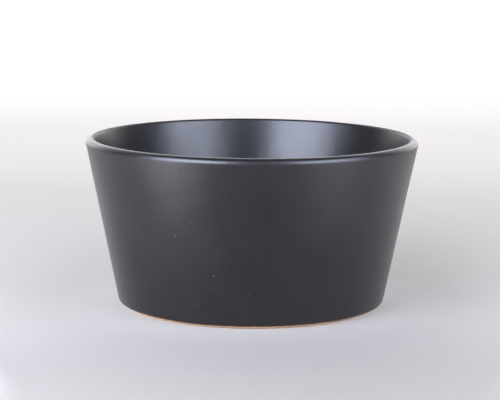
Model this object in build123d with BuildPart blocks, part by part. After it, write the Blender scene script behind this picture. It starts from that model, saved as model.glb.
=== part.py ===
from build123d import *

import os
from math import atan, cos, degrees, pi, tan

# Empty candle jar: a wide, tapered stoneware bowl under a black glaze, standing on a bare foot ring.
# It is a body of revolution about Z. The origin is the centre of the circle that the foot stands on.
# Units are millimetres. A size is that of the finished, glazed jar unless its name says clay.

# Driving dimensions.
height = 75.0
rim_radius = 75.0  # where the outer cone meets the rim's plane
base_radius = 59.8  # where the outer cone meets the table's plane
lip_width = 4.2
wall_at_floor = 5.0  # thickness of the wall, measured level, where it meets the inside floor
floor_level = 7.0  # inside floor above the table
glaze = 0.4  # thickness of the fired coat

lip_outer_round = 2.2
lip_inner_round = 1.2
floor_round = 10.0  # sweep of the inside wall into the floor
clay_heel_round = 3.6  # turn from the outside wall to the foot's flat
foot_flat = 5.0  # width of the bare ring that touches the table, with its inner round
foot_inner_round = 0.8
foot_recess = 1.8  # the underside inside the ring lies this far above the table
clay_recess_round = 1.2

heel_bare_angle = 38.0  # the outside coat stops where the heel has turned this far below level
recess_bare = 2.2  # bare clay between the foot ring's inner side and the underside coat
coat_edge_round = 0.25  # soft edge of a coat that ends on bare clay
seam_drop = 2.0  # the outside coat wraps the lip and meets the inside coat this far below the rim

# Both faces of the wall lean outwards as they rise.
outer_lean = atan((rim_radius - base_radius) / height)
floor_corner = base_radius + floor_level * tan(outer_lean) - wall_at_floor
inner_lean = atan((rim_radius - lip_width - floor_corner) / (height - floor_level))


def outer_corner(z, depth=0.0):
    """The point of the outer cone at height z, depth mm under the finished surface."""
    return base_radius + z * tan(outer_lean) - depth / cos(outer_lean), z


def inner_corner(z, depth=0.0):
    """The point of the inner cone at height z, depth mm under the finished surface."""
    return floor_corner + (z - floor_level) * tan(inner_lean) + depth / cos(inner_lean), z


clay_heel = outer_corner(0, glaze)
heel_centre = (clay_heel[0] - clay_heel_round * tan((pi / 2 - outer_lean) / 2), clay_heel_round)
foot_inner = heel_centre[0] - foot_flat
clay_recess = foot_recess + glaze
seam = height - seam_drop


def outside_line(depth):
    """Draws the outside, depth mm under the finished surface, and returns its two ends.

    The line runs from the bare heel up the wall and over the lip to the seam inside.
    """
    heel_turn = heel_bare_angle - degrees(outer_lean)
    heel = CenterArc(heel_centre, clay_heel_round + glaze - depth, -heel_bare_angle, heel_turn)
    wall_and_lip = FilletPolyline(
        heel @ 1,
        outer_corner(height - depth, depth),
        inner_corner(height - depth, depth),
        inner_corner(seam, depth),
        radius=[lip_outer_round - depth, lip_inner_round - depth],
    )
    return heel @ 0, wall_and_lip @ 1


def inside_line(depth):
    """Draws the inside, depth mm under the finished surface, and returns its two ends.

    The line runs from the seam down the wall and across the floor to its centre.
    """
    wall_and_floor = FilletPolyline(
        inner_corner(seam, depth),
        inner_corner(floor_level - depth, depth),
        (0, floor_level - depth),
        radius=[floor_round + depth],
    )
    return wall_and_floor @ 0, wall_and_floor @ 1


def coat_outline(surface_line):
    """Draws a coat's section: a line on the clay, the same line on the finished jar, and the two ends."""
    for clay_end, coat_end in zip(surface_line(glaze), surface_line(0)):
        Line(clay_end, coat_end)


# The corners of the clay's section, from the heel over the lip and the floor to the foot, and their rounds.
clay_outline = {
    clay_heel: clay_heel_round,
    outer_corner(height - glaze, glaze): lip_outer_round - glaze,
    inner_corner(height - glaze, glaze): lip_inner_round - glaze,
    inner_corner(floor_level - glaze, glaze): floor_round + glaze,
    (0, floor_level - glaze): 0,
    (0, clay_recess): 0,
    (foot_inner, clay_recess): clay_recess_round,
    (foot_inner, 0): foot_inner_round,
}
with BuildPart() as clay_body:
    with BuildSketch(Plane.XZ):
        with BuildLine():
            FilletPolyline(*clay_outline, radius=clay_outline.values(), close=True)
        make_face()
    revolve(axis=Axis.Z)

with BuildPart() as outside_glaze:
    with BuildSketch(Plane.XZ) as outside_section:
        with BuildLine():
            coat_outline(outside_line)
        make_face()
        fillet(outside_section.vertices().sort_by(Axis.Y)[0], coat_edge_round)
    revolve(axis=Axis.Z)

with BuildPart() as inside_glaze:
    with BuildSketch(Plane.XZ):
        with BuildLine():
            coat_outline(inside_line)
        make_face()
    revolve(axis=Axis.Z)

with BuildPart() as underside_glaze:
    with BuildSketch(Plane.XY.offset(foot_recess)):
        Circle(foot_inner - recess_bare)
    extrude(amount=glaze)
    fillet(underside_glaze.edges().group_by(Axis.Z)[0], coat_edge_round)

pieces = {
    "clay_body": clay_body,
    "outside_glaze": outside_glaze,
    "inside_glaze": inside_glaze,
    "underside_glaze": underside_glaze,
}
os.makedirs("parts", exist_ok=True)
for name, piece in pieces.items():
    piece.part.label = name
    export_step(piece.part, f"parts/{name}.step")
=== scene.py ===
# Empty candle jar: a cast stoneware bowl in a satin black glaze on a bare clay foot, in studio light.
from math import asin, atan, ceil, cos, hypot, pi, radians, sin, tan

import bmesh
import bpy
from mathutils import Matrix, Vector, noise


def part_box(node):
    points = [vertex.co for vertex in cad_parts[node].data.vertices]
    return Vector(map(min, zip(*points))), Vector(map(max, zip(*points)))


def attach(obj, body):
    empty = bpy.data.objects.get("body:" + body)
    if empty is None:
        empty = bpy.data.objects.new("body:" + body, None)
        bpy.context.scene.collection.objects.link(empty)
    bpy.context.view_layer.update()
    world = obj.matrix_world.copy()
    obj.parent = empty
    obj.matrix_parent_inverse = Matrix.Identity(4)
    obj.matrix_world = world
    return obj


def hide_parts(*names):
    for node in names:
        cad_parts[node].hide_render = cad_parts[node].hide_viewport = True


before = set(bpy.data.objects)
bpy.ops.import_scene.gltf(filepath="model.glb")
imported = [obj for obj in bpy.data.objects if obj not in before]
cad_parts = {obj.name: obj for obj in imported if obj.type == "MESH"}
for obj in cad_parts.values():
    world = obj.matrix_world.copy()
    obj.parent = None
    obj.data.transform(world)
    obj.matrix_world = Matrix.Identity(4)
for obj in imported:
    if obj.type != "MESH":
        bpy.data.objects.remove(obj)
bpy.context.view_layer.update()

# The jar's lengths are in millimetres and are the CAD's own, until a mesh is made from them.
# The studio and the materials are in metres.
MM = 0.001

GLAZE = 0.4  # thickness of the fired coat
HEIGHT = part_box("outside_glaze")[1].z / MM
FLOOR_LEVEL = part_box("inside_glaze")[0].z / MM + GLAZE
FOOT_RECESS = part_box("underside_glaze")[0].z / MM
UNDERSIDE_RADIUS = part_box("underside_glaze")[1].x / MM
RIM_RADIUS = 75.0
BASE_RADIUS = 59.8
LIP_WIDTH = 4.2
WALL_AT_FLOOR = 5.0
LIP_OUTER_ROUND = 2.2
LIP_INNER_ROUND = 1.2
FLOOR_ROUND = 10.0
CLAY_HEEL_ROUND = 3.6
CLAY_RECESS_ROUND = 1.2
FOOT_FLAT = 5.0
FOOT_INNER_ROUND = 0.8
HEEL_BARE_ANGLE = radians(38.0)
SEAM_DROP = 2.0
SEAM = HEIGHT - SEAM_DROP  # where the outside coat ends and the inside coat begins

OUTER_LEAN = atan((RIM_RADIUS - BASE_RADIUS) / HEIGHT)
FLOOR_CORNER = BASE_RADIUS + FLOOR_LEVEL * tan(OUTER_LEAN) - WALL_AT_FLOOR
INNER_LEAN = atan((RIM_RADIUS - LIP_WIDTH - FLOOR_CORNER) / (HEIGHT - FLOOR_LEVEL))

TURNS = 288  # steps round the jar
FINE = 1.0  # longest step along a face that shows
COARSE = 10.0  # longest step along a face that lies against another piece
ARC_STEP = radians(8.0)

MERGE_DISTANCE = 0.001
SHARP_CORNER = radians(40.0)

EDGE_ROLL = 0.5  # how far from its free edge a coat reaches its full thickness
EDGE_ROLL_STEPS = 6
HEEL_STEPS = 6  # round the heel, from the coat's edge to the wall
EDGE_ATTRIBUTE = "edge_distance"  # millimetres from a coat's free edge
NO_EDGE = 100.0  # the same, where no free edge is near
THIN_WIDTH = 0.45  # how far from its free edge a coat is thin enough to look brown
SWELL_WAVES = ((0.07, 26.0), (0.02, 9.0))  # height and length of each kind of wave
RAGGED_WAVES = ((1.0, 4.0), (0.5, 19.0), (0.3, 60.0))  # share of the reach, and lumps per radian
HEEL_RAGGED = radians(4.0)  # reach of the outside coat's ragged edge, as an angle round the heel
UNDERSIDE_RAGGED = 0.25
OUTSIDE_SEED = 0.0
UNDERSIDE_SEED = 5.0


# ---------------------------------------------------------------- sections

def outer_corner(z, depth=0.0):
    """The point of the outer cone at height z, depth mm under the finished surface."""
    return BASE_RADIUS + z * tan(OUTER_LEAN) - depth / cos(OUTER_LEAN), z


def inner_corner(z, depth=0.0):
    """The point of the inner cone at height z, depth mm under the finished surface."""
    return FLOOR_CORNER + (z - FLOOR_LEVEL) * tan(INNER_LEAN) + depth / cos(INNER_LEAN), z


def arc(centre, radius, start, end, steps=None, hollow=False):
    """Points (radius, height, angle of the face) along an arc; a hollow one faces its centre."""
    steps = steps or max(2, ceil(abs(end - start) / ARC_STEP))
    turns = [start + (end - start) * i / steps for i in range(steps + 1)]
    r, z = centre
    return [(r + radius * cos(a), z + radius * sin(a), a + pi * hollow) for a in turns]


def run(start, end, facing, step):
    """Points along a straight face between start and end, without its two ends."""
    r, z = start[:2]
    out, up = end[0] - r, end[1] - z
    steps = ceil(hypot(out, up) / step)
    shares = [i / steps for i in range(1, steps)]
    return [(r + out * share, z + up * share, facing) for share in shares]


def joined(parts, step):
    """One line of points through all the parts, with straight runs between them."""
    line = list(parts[0])
    for part in parts[1:]:
        line += run(line[-1], part[0], part[0][2], step) + list(part)
    return line


HEEL_CENTRE = outer_corner(CLAY_HEEL_ROUND, GLAZE + CLAY_HEEL_ROUND)
FOOT_INNER = HEEL_CENTRE[0] - FOOT_FLAT
CLAY_RECESS = FOOT_RECESS + GLAZE


def heel(depth, start, steps=None):
    """The turn from the foot to the outside wall, from the angle start."""
    return arc(HEEL_CENTRE, CLAY_HEEL_ROUND + GLAZE - depth, start, -OUTER_LEAN, steps)


def lip(depth):
    """The two rounds of the lip and the narrow flat between them, and the wall's face at the seam."""
    outer_round = LIP_OUTER_ROUND - depth
    inner_round = LIP_INNER_ROUND - depth
    wall = pi - INNER_LEAN
    return [
        arc(outer_corner(HEIGHT - LIP_OUTER_ROUND, LIP_OUTER_ROUND), outer_round, -OUTER_LEAN, pi / 2),
        arc(inner_corner(HEIGHT - LIP_INNER_ROUND, LIP_INNER_ROUND), inner_round, pi / 2, wall),
        [(*inner_corner(SEAM, depth), wall)],
    ]


def inside(depth):
    """The inside wall from the seam down, its sweep into the floor, and the floor's centre."""
    centre = inner_corner(FLOOR_LEVEL + FLOOR_ROUND, -FLOOR_ROUND)
    return [
        [(*inner_corner(SEAM, depth), pi - INNER_LEAN)],
        arc(centre, FLOOR_ROUND + depth, -INNER_LEAN, -pi / 2, hollow=True),
        [(0.0, FLOOR_LEVEL - depth, pi / 2)],
    ]


# ---------------------------------------------------------------- how a fired coat lies

def swell(radius, azimuth, z):
    """How far the fired coat stands off its nominal face: long shallow waves, in millimetres."""
    place = Vector((radius * cos(azimuth), radius * sin(azimuth), z))
    return sum(height * noise.noise(place / length) for height, length in SWELL_WAVES)


def ragged(azimuth, seed, reach):
    """How far a wiped edge strays from its line: a slow wander with finer ticks, up to about reach."""
    round_jar = Vector((cos(azimuth), sin(azimuth), seed))
    return reach * sum(share * noise.noise(round_jar * lumps) for share, lumps in RAGGED_WAVES)


def edge_profile(distance):
    """The share of its full thickness that a coat has at a distance from its rolled free edge."""
    if distance >= EDGE_ROLL:
        return 1.0
    return cos(asin(1 - distance / EDGE_ROLL)) if distance > 0 else 0.0


def lifted(line, azimuth, edge_at_start):
    """A coat's finished face: the line moved out by the swell, and rolled down at its free edge."""
    face = []
    distance = 0.0
    previous = line[0]
    for r, z, facing in line:
        distance += hypot(r - previous[0], z - previous[1])
        previous = (r, z)
        rolled = edge_profile(distance) if edge_at_start else 1.0
        lift = swell(r, azimuth, z) * rolled - GLAZE * (1 - rolled)
        from_edge = distance if edge_at_start else NO_EDGE
        face.append((r + lift * cos(facing), z + lift * sin(facing), from_edge))
    return face


def on_clay(line):
    """A coat's hidden face, from its far end back to its free edge."""
    return [(r, z, NO_EDGE) for r, z, _ in reversed(line)]


# ---------------------------------------------------------------- meshes

def lathe(name, section):
    """A mesh object from section(azimuth), a closed outline of (radius, height, edge distance), round Z."""
    azimuths = [2 * pi * turn / TURNS for turn in range(TURNS)]
    rings = [section(azimuth) for azimuth in azimuths]
    size = len(rings[0])
    corners = [
        (r * cos(a) * MM, r * sin(a) * MM, z * MM)
        for a, ring in zip(azimuths, rings)
        for r, z, _ in ring
    ]
    faces = []
    for turn in range(TURNS):
        here, there = turn * size, (turn + 1) % TURNS * size
        for i in range(size):
            after = (i + 1) % size
            faces.append((here + i, there + i, there + after, here + after))
    mesh = bpy.data.meshes.new(name)
    mesh.from_pydata(corners, [], faces)
    distances = mesh.attributes.new(EDGE_ATTRIBUTE, "FLOAT", "POINT")
    distances.data.foreach_set("value", [distance for ring in rings for _, _, distance in ring])
    clean(mesh)
    made = bpy.data.objects.new(name, mesh)
    bpy.context.scene.collection.objects.link(made)
    return made


def clean(mesh):
    """Joins the points on the axis, turns every face outwards and shades all but real corners smooth."""
    shell = bmesh.new()
    shell.from_mesh(mesh)
    bmesh.ops.remove_doubles(shell, verts=shell.verts, dist=MERGE_DISTANCE * MM)
    bmesh.ops.recalc_face_normals(shell, faces=shell.faces)
    shell.to_mesh(mesh)
    shell.free()
    mesh.polygons.foreach_set("use_smooth", [True] * len(mesh.polygons))
    mesh.set_sharp_from_angle(angle=SHARP_CORNER)


def finished(piece, material, node):
    """Gives a piece its material, hides the CAD part that it stands for, and hangs it on the root body."""
    piece.data.materials.append(material)
    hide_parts(node)
    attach(piece, "root")


def outside_coat():
    """The coat on the outside wall, from its rolled edge on the heel over the lip to the seam inside."""
    def section(azimuth):
        bare = -HEEL_BARE_ANGLE + ragged(azimuth, OUTSIDE_SEED, HEEL_RAGGED)
        rolled = bare + EDGE_ROLL / (CLAY_HEEL_ROUND + GLAZE)
        edge = arc(HEEL_CENTRE, CLAY_HEEL_ROUND + GLAZE, bare, rolled, EDGE_ROLL_STEPS)
        face = joined([edge[:-1], heel(0.0, rolled, HEEL_STEPS), *lip(0.0)], FINE)
        back = joined([heel(GLAZE, bare, HEEL_STEPS), *lip(GLAZE)], COARSE)
        return lifted(face, azimuth, True) + on_clay(back)

    return lathe("outside_coat", section)


def inside_coat():
    """The coat on the inside wall and floor."""
    face = joined(inside(0.0), FINE)
    back = on_clay(joined(inside(GLAZE), COARSE))

    def section(azimuth):
        return lifted(face, azimuth, False) + back

    return lathe("inside_coat", section)


def underside_coat():
    """The thin disc of glaze in the recess under the foot, with a rolled edge."""
    def section(azimuth):
        radius = UNDERSIDE_RADIUS + ragged(azimuth, UNDERSIDE_SEED, UNDERSIDE_RAGGED)
        insets = [i * EDGE_ROLL / EDGE_ROLL_STEPS for i in range(EDGE_ROLL_STEPS)]
        edge = [(radius - inset, FOOT_RECESS, -pi / 2) for inset in insets]
        face = joined([edge, [(0.0, FOOT_RECESS, -pi / 2)]], 2 * FINE)
        back = joined([[(radius, CLAY_RECESS, -pi / 2)], [(0.0, CLAY_RECESS, -pi / 2)]], COARSE)
        return lifted(face, azimuth, True) + on_clay(back)

    return lathe("underside_coat", section)


def clay_bowl():
    """The fired clay: only its foot ring shows, so that is where the mesh is fine."""
    recess_centre = (FOOT_INNER - CLAY_RECESS_ROUND, CLAY_RECESS - CLAY_RECESS_ROUND)
    foot_centre = (FOOT_INNER + FOOT_INNER_ROUND, FOOT_INNER_ROUND)
    under = [
        [(0.0, CLAY_RECESS, -pi / 2)],
        arc(recess_centre, CLAY_RECESS_ROUND, pi / 2, 0.0, hollow=True),
        arc(foot_centre, FOOT_INNER_ROUND, pi, 1.5 * pi),
    ]
    foot = joined([*under, heel(GLAZE, -pi / 2)], FINE)
    wall = joined([[foot[-1]], *lip(GLAZE)], COARSE)
    bowl = joined(inside(GLAZE), COARSE)
    outline = [(r, z, NO_EDGE) for r, z, _ in foot + wall[1:] + bowl[1:]]
    return lathe("clay_bowl", lambda azimuth: outline)


# ---------------------------------------------------------------- materials

def node(tree, kind, inputs=(), **settings):
    """A shader node. Each input is a value, or another node's output to join to it."""
    made = tree.nodes.new(kind)
    for key, value in settings.items():
        setattr(made, key, value)
    for key, value in dict(inputs).items():
        if isinstance(value, bpy.types.NodeSocket):
            tree.links.new(value, made.inputs[key])
        else:
            made.inputs[key].default_value = value
    return made


def grain(tree, place, scale, detail=3.0, roughness=0.5):
    """Soft noise from 0 to 1, with lumps about 1 / scale metres across."""
    inputs = {"Vector": place, "Scale": scale, "Detail": detail, "Roughness": roughness}
    return node(tree, "ShaderNodeTexNoise", inputs).outputs["Fac"]


def ramp(tree, value, from_low, from_high, to_low=0.0, to_high=1.0):
    """A smooth step: to_low up to from_low, to_high from from_high on."""
    inputs = {"Value": value, "From Min": from_low, "From Max": from_high}
    inputs |= {"To Min": to_low, "To Max": to_high}
    return node(tree, "ShaderNodeMapRange", inputs, interpolation_type="SMOOTHSTEP").outputs["Result"]


def blend(tree, share, first, second):
    """The first colour, turning into the second as share goes from 0 to 1."""
    # A Mix node has its sockets once for each type of data: these numbers are those for colours.
    return node(tree, "ShaderNodeMix", {0: share, 6: first, 7: second}, data_type="RGBA").outputs[2]


def combine(tree, operation, first, second):
    """One sum, difference, product or maximum of two numbers."""
    return node(tree, "ShaderNodeMath", {0: first, 1: second}, operation=operation).outputs[0]


def bump(tree, height, distance, below=None):
    """The surface's normal, raised by height times distance metres, on top of another bump."""
    inputs = {"Height": height, "Distance": distance, "Strength": 1.0}
    if below:
        inputs["Normal"] = below
    return node(tree, "ShaderNodeBump", inputs).outputs["Normal"]


def new_material(name):
    """A material with a Principled shader: the tree, the shader, and object coordinates in metres."""
    material = bpy.data.materials.new(name)
    material.use_nodes = True
    tree = material.node_tree
    shader = tree.nodes["Principled BSDF"]
    return material, tree, shader, node(tree, "ShaderNodeTexCoord").outputs["Object"]


def spots(tree, place, scale, radius):
    """Scattered round spots: 1 inside one, 0 away from it. radius is in cells of the pattern."""
    core = 0.4 * radius
    distance = node(tree, "ShaderNodeTexVoronoi", {"Vector": place, "Scale": scale}).outputs["Distance"]
    return ramp(tree, distance, core, radius, 1.0, 0.0)


def glaze_material():
    """Satin black: a little uneven, with a fine grain and pinholes, and brown where its edge thins out."""
    deep_black = (0.0030, 0.0022, 0.0027, 1)
    soft_black = (0.0050, 0.0040, 0.0045, 1)
    dusty_black = (0.0075, 0.0064, 0.0069, 1)
    pinhole_grey = (0.07, 0.066, 0.068, 1)
    edge_brown = (0.115, 0.055, 0.028, 1)
    material, tree, shader, place = new_material("satin_black_glaze")
    clouds = grain(tree, place, 40.0, 4.0)
    fine = grain(tree, place, 1600.0, 2.0)
    pinholes = spots(tree, place, 130.0, 0.045)
    from_edge = node(tree, "ShaderNodeAttribute", attribute_name=EDGE_ATTRIBUTE).outputs["Fac"]
    ticks = combine(tree, "MULTIPLY", grain(tree, place, 900.0, 3.0), 0.5)
    thin = ramp(tree, combine(tree, "SUBTRACT", from_edge, ticks), 0.0, THIN_WIDTH, 1.0, 0.0)

    body = blend(tree, ramp(tree, clouds, 0.3, 0.7), deep_black, soft_black)
    body = blend(tree, ramp(tree, fine, 0.35, 0.75), body, dusty_black)
    body = blend(tree, pinholes, body, pinhole_grey)
    body = blend(tree, thin, body, edge_brown)
    tree.links.new(body, shader.inputs["Base Color"])

    roughness = ramp(tree, clouds, 0.3, 0.7, 0.31, 0.36)
    roughness = combine(tree, "ADD", roughness, combine(tree, "MULTIPLY", fine, 0.04))
    roughness = combine(tree, "MAXIMUM", roughness, combine(tree, "MULTIPLY", pinholes, 0.7))
    tree.links.new(roughness, shader.inputs["Roughness"])
    shader.inputs["IOR"].default_value = 1.5
    shader.inputs["Sheen Weight"].default_value = 0.17
    shader.inputs["Sheen Roughness"].default_value = 0.3

    orange_peel = grain(tree, place, 220.0, 2.0)
    around_pinholes = combine(tree, "SUBTRACT", 1.0, pinholes)
    normal = bump(tree, orange_peel, 0.06 * MM)
    normal = bump(tree, fine, 0.01 * MM, normal)
    normal = bump(tree, around_pinholes, 0.08 * MM, normal)
    tree.links.new(normal, shader.inputs["Normal"])
    return material


def clay_material():
    """Bare buff stoneware: sandy, with iron specks, and the faint rings that a sponge leaves on a foot."""
    buff = (0.40, 0.215, 0.095, 1)
    light_buff = (0.48, 0.285, 0.145, 1)
    sand_grey = (0.56, 0.37, 0.215, 1)
    iron = (0.16, 0.075, 0.035, 1)
    material, tree, shader, place = new_material("bare_buff_clay")
    patches = grain(tree, place, 70.0, 4.0)
    sand = grain(tree, place, 2200.0, 4.0, 0.65)
    specks = spots(tree, place, 420.0, 0.13)
    waves = {"Vector": place, "Scale": 260.0, "Distortion": 1.5, "Detail": 2.0}
    rings = node(tree, "ShaderNodeTexWave", waves, wave_type="RINGS", rings_direction="Z").outputs["Fac"]

    body = blend(tree, ramp(tree, patches, 0.3, 0.7), buff, light_buff)
    body = blend(tree, ramp(tree, sand, 0.3, 0.75), body, sand_grey)
    body = blend(tree, specks, body, iron)
    tree.links.new(body, shader.inputs["Base Color"])
    tree.links.new(ramp(tree, sand, 0.3, 0.7, 0.74, 0.92), shader.inputs["Roughness"])

    normal = bump(tree, rings, 0.03 * MM)
    normal = bump(tree, sand, 0.07 * MM, normal)
    tree.links.new(normal, shader.inputs["Normal"])
    return material


# ---------------------------------------------------------------- studio

SWEEP_BACK = 1.9  # from the jar to the upright part of the backdrop
SWEEP_CURVE = 1.1
SWEEP_CURVE_STEPS = 24
SWEEP_TOP = 3.2
SWEEP_FRONT = -4.0
SWEEP_HALF_WIDTH = 3.5
SWEEP_DROP = -0.00005  # just under the foot
LAMP_DISTANCE = 0.6
LAMP_ENERGY = 4  # watts from a square metre of lamp with a brightness of 1
POOL_RADIUS = 0.13
POOL_FRONT = -0.18
POOLS = ((-0.21, 8.0), (0.21, 2.8))  # sideways place and brightness


def pool(tree, place, x, brightness):
    """A round pool of light on the paper in front of the jar, brightest in its middle."""
    middle = {0: place, 1: (x, POOL_FRONT, 0.0)}
    away = node(tree, "ShaderNodeVectorMath", middle, operation="DISTANCE").outputs["Value"]
    return ramp(tree, away, 0.0, POOL_RADIUS, brightness, 0.0)


def glow(tree, place):
    """How bright the paper glows at each place, as if lit by lamps outside the picture that light it only.

    Each ramp goes from one place to another, and from the glow at the first to that at the second.
    """
    axes = node(tree, "ShaderNodeSeparateXYZ", {0: place}).outputs
    low_behind = ramp(tree, axes["Y"], -0.10, 0.50, 0.0, 0.50)
    high_behind = ramp(tree, axes["Y"], 0.35, 1.1, 0.0, 0.31)
    behind = combine(tree, "ADD", low_behind, high_behind)
    left = ramp(tree, axes["X"], -0.45, 0.10, 0.56, 0.0)
    right = ramp(tree, axes["X"], 0.0, 0.40, 0.0, 0.64)
    near = combine(tree, "ADD", left, right)
    near = combine(tree, "MULTIPLY", near, ramp(tree, axes["Y"], 0.05, 0.35, 1.0, 0.0))
    near = combine(tree, "MULTIPLY", near, ramp(tree, axes["Y"], -0.15, -0.05, 0.5, 1.0))
    # Painted light in a ring round the jar's foot, lifting the shade that the jar casts on the paper there.
    from_axis = node(tree, "ShaderNodeVectorMath", {0: place}, operation="LENGTH").outputs["Value"]
    near = combine(tree, "ADD", near, ramp(tree, from_axis, 0.055, 0.10, 0.08, 0.0))
    for x, brightness in POOLS:
        near = combine(tree, "ADD", near, pool(tree, place, x, brightness))
    return combine(tree, "ADD", behind, near)


def backdrop_material():
    """Matt paper, with painted shade that makes it a little darker in front of the jar, and a glow of its
    own, which is painted light.
    """
    front_painted_shade_grey = (0.49, 0.45, 0.40, 1)
    back_grey = (0.54, 0.515, 0.465, 1)
    fibre_grey = (0.56, 0.535, 0.485, 1)
    material, tree, shader, place = new_material("studio_paper")
    depth = node(tree, "ShaderNodeSeparateXYZ", {0: place}).outputs["Y"]
    paper = blend(tree, grain(tree, place, 30.0, 3.0), back_grey, fibre_grey)
    # Painted shade: the paper's colour turns darker towards the front of the jar.
    paper = blend(tree, ramp(tree, depth, -0.20, 0.0), front_painted_shade_grey, paper)
    tree.links.new(paper, shader.inputs["Base Color"])
    shader.inputs["Roughness"].default_value = 0.9
    shader.inputs["Specular IOR Level"].default_value = 0.1
    shader.inputs["Emission Color"].default_value = (0.975, 0.96, 1.0, 1)
    tree.links.new(glow(tree, place), shader.inputs["Emission Strength"])
    return material


def backdrop():
    """A floor that curves up behind the jar into a backdrop, in one sheet."""
    turns = [pi / 2 * i / SWEEP_CURVE_STEPS for i in range(SWEEP_CURVE_STEPS + 1)]
    curve_start = SWEEP_BACK - SWEEP_CURVE
    curve = [(curve_start + SWEEP_CURVE * sin(a), SWEEP_DROP + SWEEP_CURVE * (1 - cos(a))) for a in turns]
    profile = [(SWEEP_FRONT, SWEEP_DROP), (0.0, SWEEP_DROP), *curve, (SWEEP_BACK, SWEEP_TOP)]
    corners = [(x, y, z) for y, z in profile for x in (-SWEEP_HALF_WIDTH, SWEEP_HALF_WIDTH)]
    faces = [(2 * i, 2 * i + 1, 2 * i + 3, 2 * i + 2) for i in range(len(profile) - 1)]
    mesh = bpy.data.meshes.new("backdrop")
    mesh.from_pydata(corners, [], faces)
    mesh.polygons.foreach_set("use_smooth", [True] * len(faces))
    mesh.materials.append(backdrop_material())
    made = bpy.data.objects.new("backdrop", mesh)
    bpy.context.scene.collection.objects.link(made)


def softbox(name, azimuth, elevation, width, height, brightness, colour, on_paper=True):
    """A rectangular lamp aimed at the jar. Its place and the width and height that it fills are in degrees.

    Azimuth 0 is over the camera, and grows to the camera's right. A brightness of 1 is that of white paper.
    A lamp that isn't on the paper only shows as a reflection.
    """
    azimuth, elevation, width, height = map(radians, (azimuth, elevation, width, height))
    away = Vector((sin(azimuth) * cos(elevation), -cos(azimuth) * cos(elevation), sin(elevation)))
    aim = Vector((0.0, 0.0, HEIGHT / 2 * MM))
    lamp = bpy.data.lights.new(name, "AREA")
    lamp.shape = "RECTANGLE"
    lamp.size = 2 * LAMP_DISTANCE * cos(elevation) * tan(width / 2)
    lamp.size_y = 2 * LAMP_DISTANCE * tan(height / 2)
    lamp.energy = LAMP_ENERGY * brightness * lamp.size * lamp.size_y
    lamp.color = colour
    made = bpy.data.objects.new(name, lamp)
    made.location = aim + away * LAMP_DISTANCE
    made.rotation_euler = (-away).to_track_quat("-Z", "Y").to_euler()
    made.visible_camera = False
    made.visible_diffuse = on_paper
    bpy.context.scene.collection.objects.link(made)


def lights():
    """Two tall softboxes in front of the jar and two weak ones behind it, in a dim room.

    The top of a tall one only shows as a reflection, because it would light the paper too much.
    """
    cool = (0.92, 1.0, 1.27)
    warm = (1.0, 0.93, 0.94)
    for side, azimuth, width, brightness in (("left", -41.5, 48, 11.4), ("right", 50, 46, 7.1)):
        softbox(f"softbox_{side}", azimuth, 12, width, 24, brightness, cool)
        softbox(f"softbox_{side}_top", azimuth, 34, width, 20, brightness, cool, on_paper=False)
    for side, azimuth in (("left", -148), ("right", 148)):
        softbox(f"edge_light_{side}", azimuth, 14, 40, 28, 1.4, warm, on_paper=False)
    dim_room()


def dim_room():
    """The grey all round: dim where it lights the jar, and pale where the camera sees it."""
    lit_by = (0.20, 0.19, 0.20, 1)
    seen_as = (0.80, 0.78, 0.79, 1)
    world = bpy.data.worlds.new("dim_room")
    world.use_nodes = True
    tree = world.node_tree
    seen = node(tree, "ShaderNodeLightPath").outputs["Is Camera Ray"]
    tree.links.new(blend(tree, seen, lit_by, seen_as), tree.nodes["Background"].inputs["Color"])
    bpy.context.scene.world = world


CAMERA_DISTANCE = 0.788
CAMERA_HEIGHT = 0.1733
CAMERA_DOWN = 0.16  # radians, like the two below
CAMERA_LEFT = 0.0009
CAMERA_ROLL = 0.0078
CAMERA_LENS = 126.985  # millimetres, like the sensor
CAMERA_SENSOR = 36.0


def camera():
    """A long lens that looks a little down on the jar."""
    eye = bpy.data.objects.new("camera", bpy.data.cameras.new("camera"))
    eye.data.lens = CAMERA_LENS
    eye.data.sensor_width = CAMERA_SENSOR
    eye.matrix_world = (
        Matrix.Translation((0.0, -CAMERA_DISTANCE, CAMERA_HEIGHT))
        @ Matrix.Rotation(CAMERA_LEFT, 4, "Z")
        @ Matrix.Rotation(pi / 2 - CAMERA_DOWN, 4, "X")
        @ Matrix.Rotation(CAMERA_ROLL, 4, "Z")
    )
    bpy.context.scene.collection.objects.link(eye)
    bpy.context.scene.camera = eye


glaze = glaze_material()
finished(clay_bowl(), clay_material(), "clay_body")
finished(outside_coat(), glaze, "outside_glaze")
finished(inside_coat(), glaze, "inside_glaze")
finished(underside_coat(), glaze, "underside_glaze")
backdrop()
lights()
camera()
bpy.context.scene.view_settings.view_transform = "Standard"
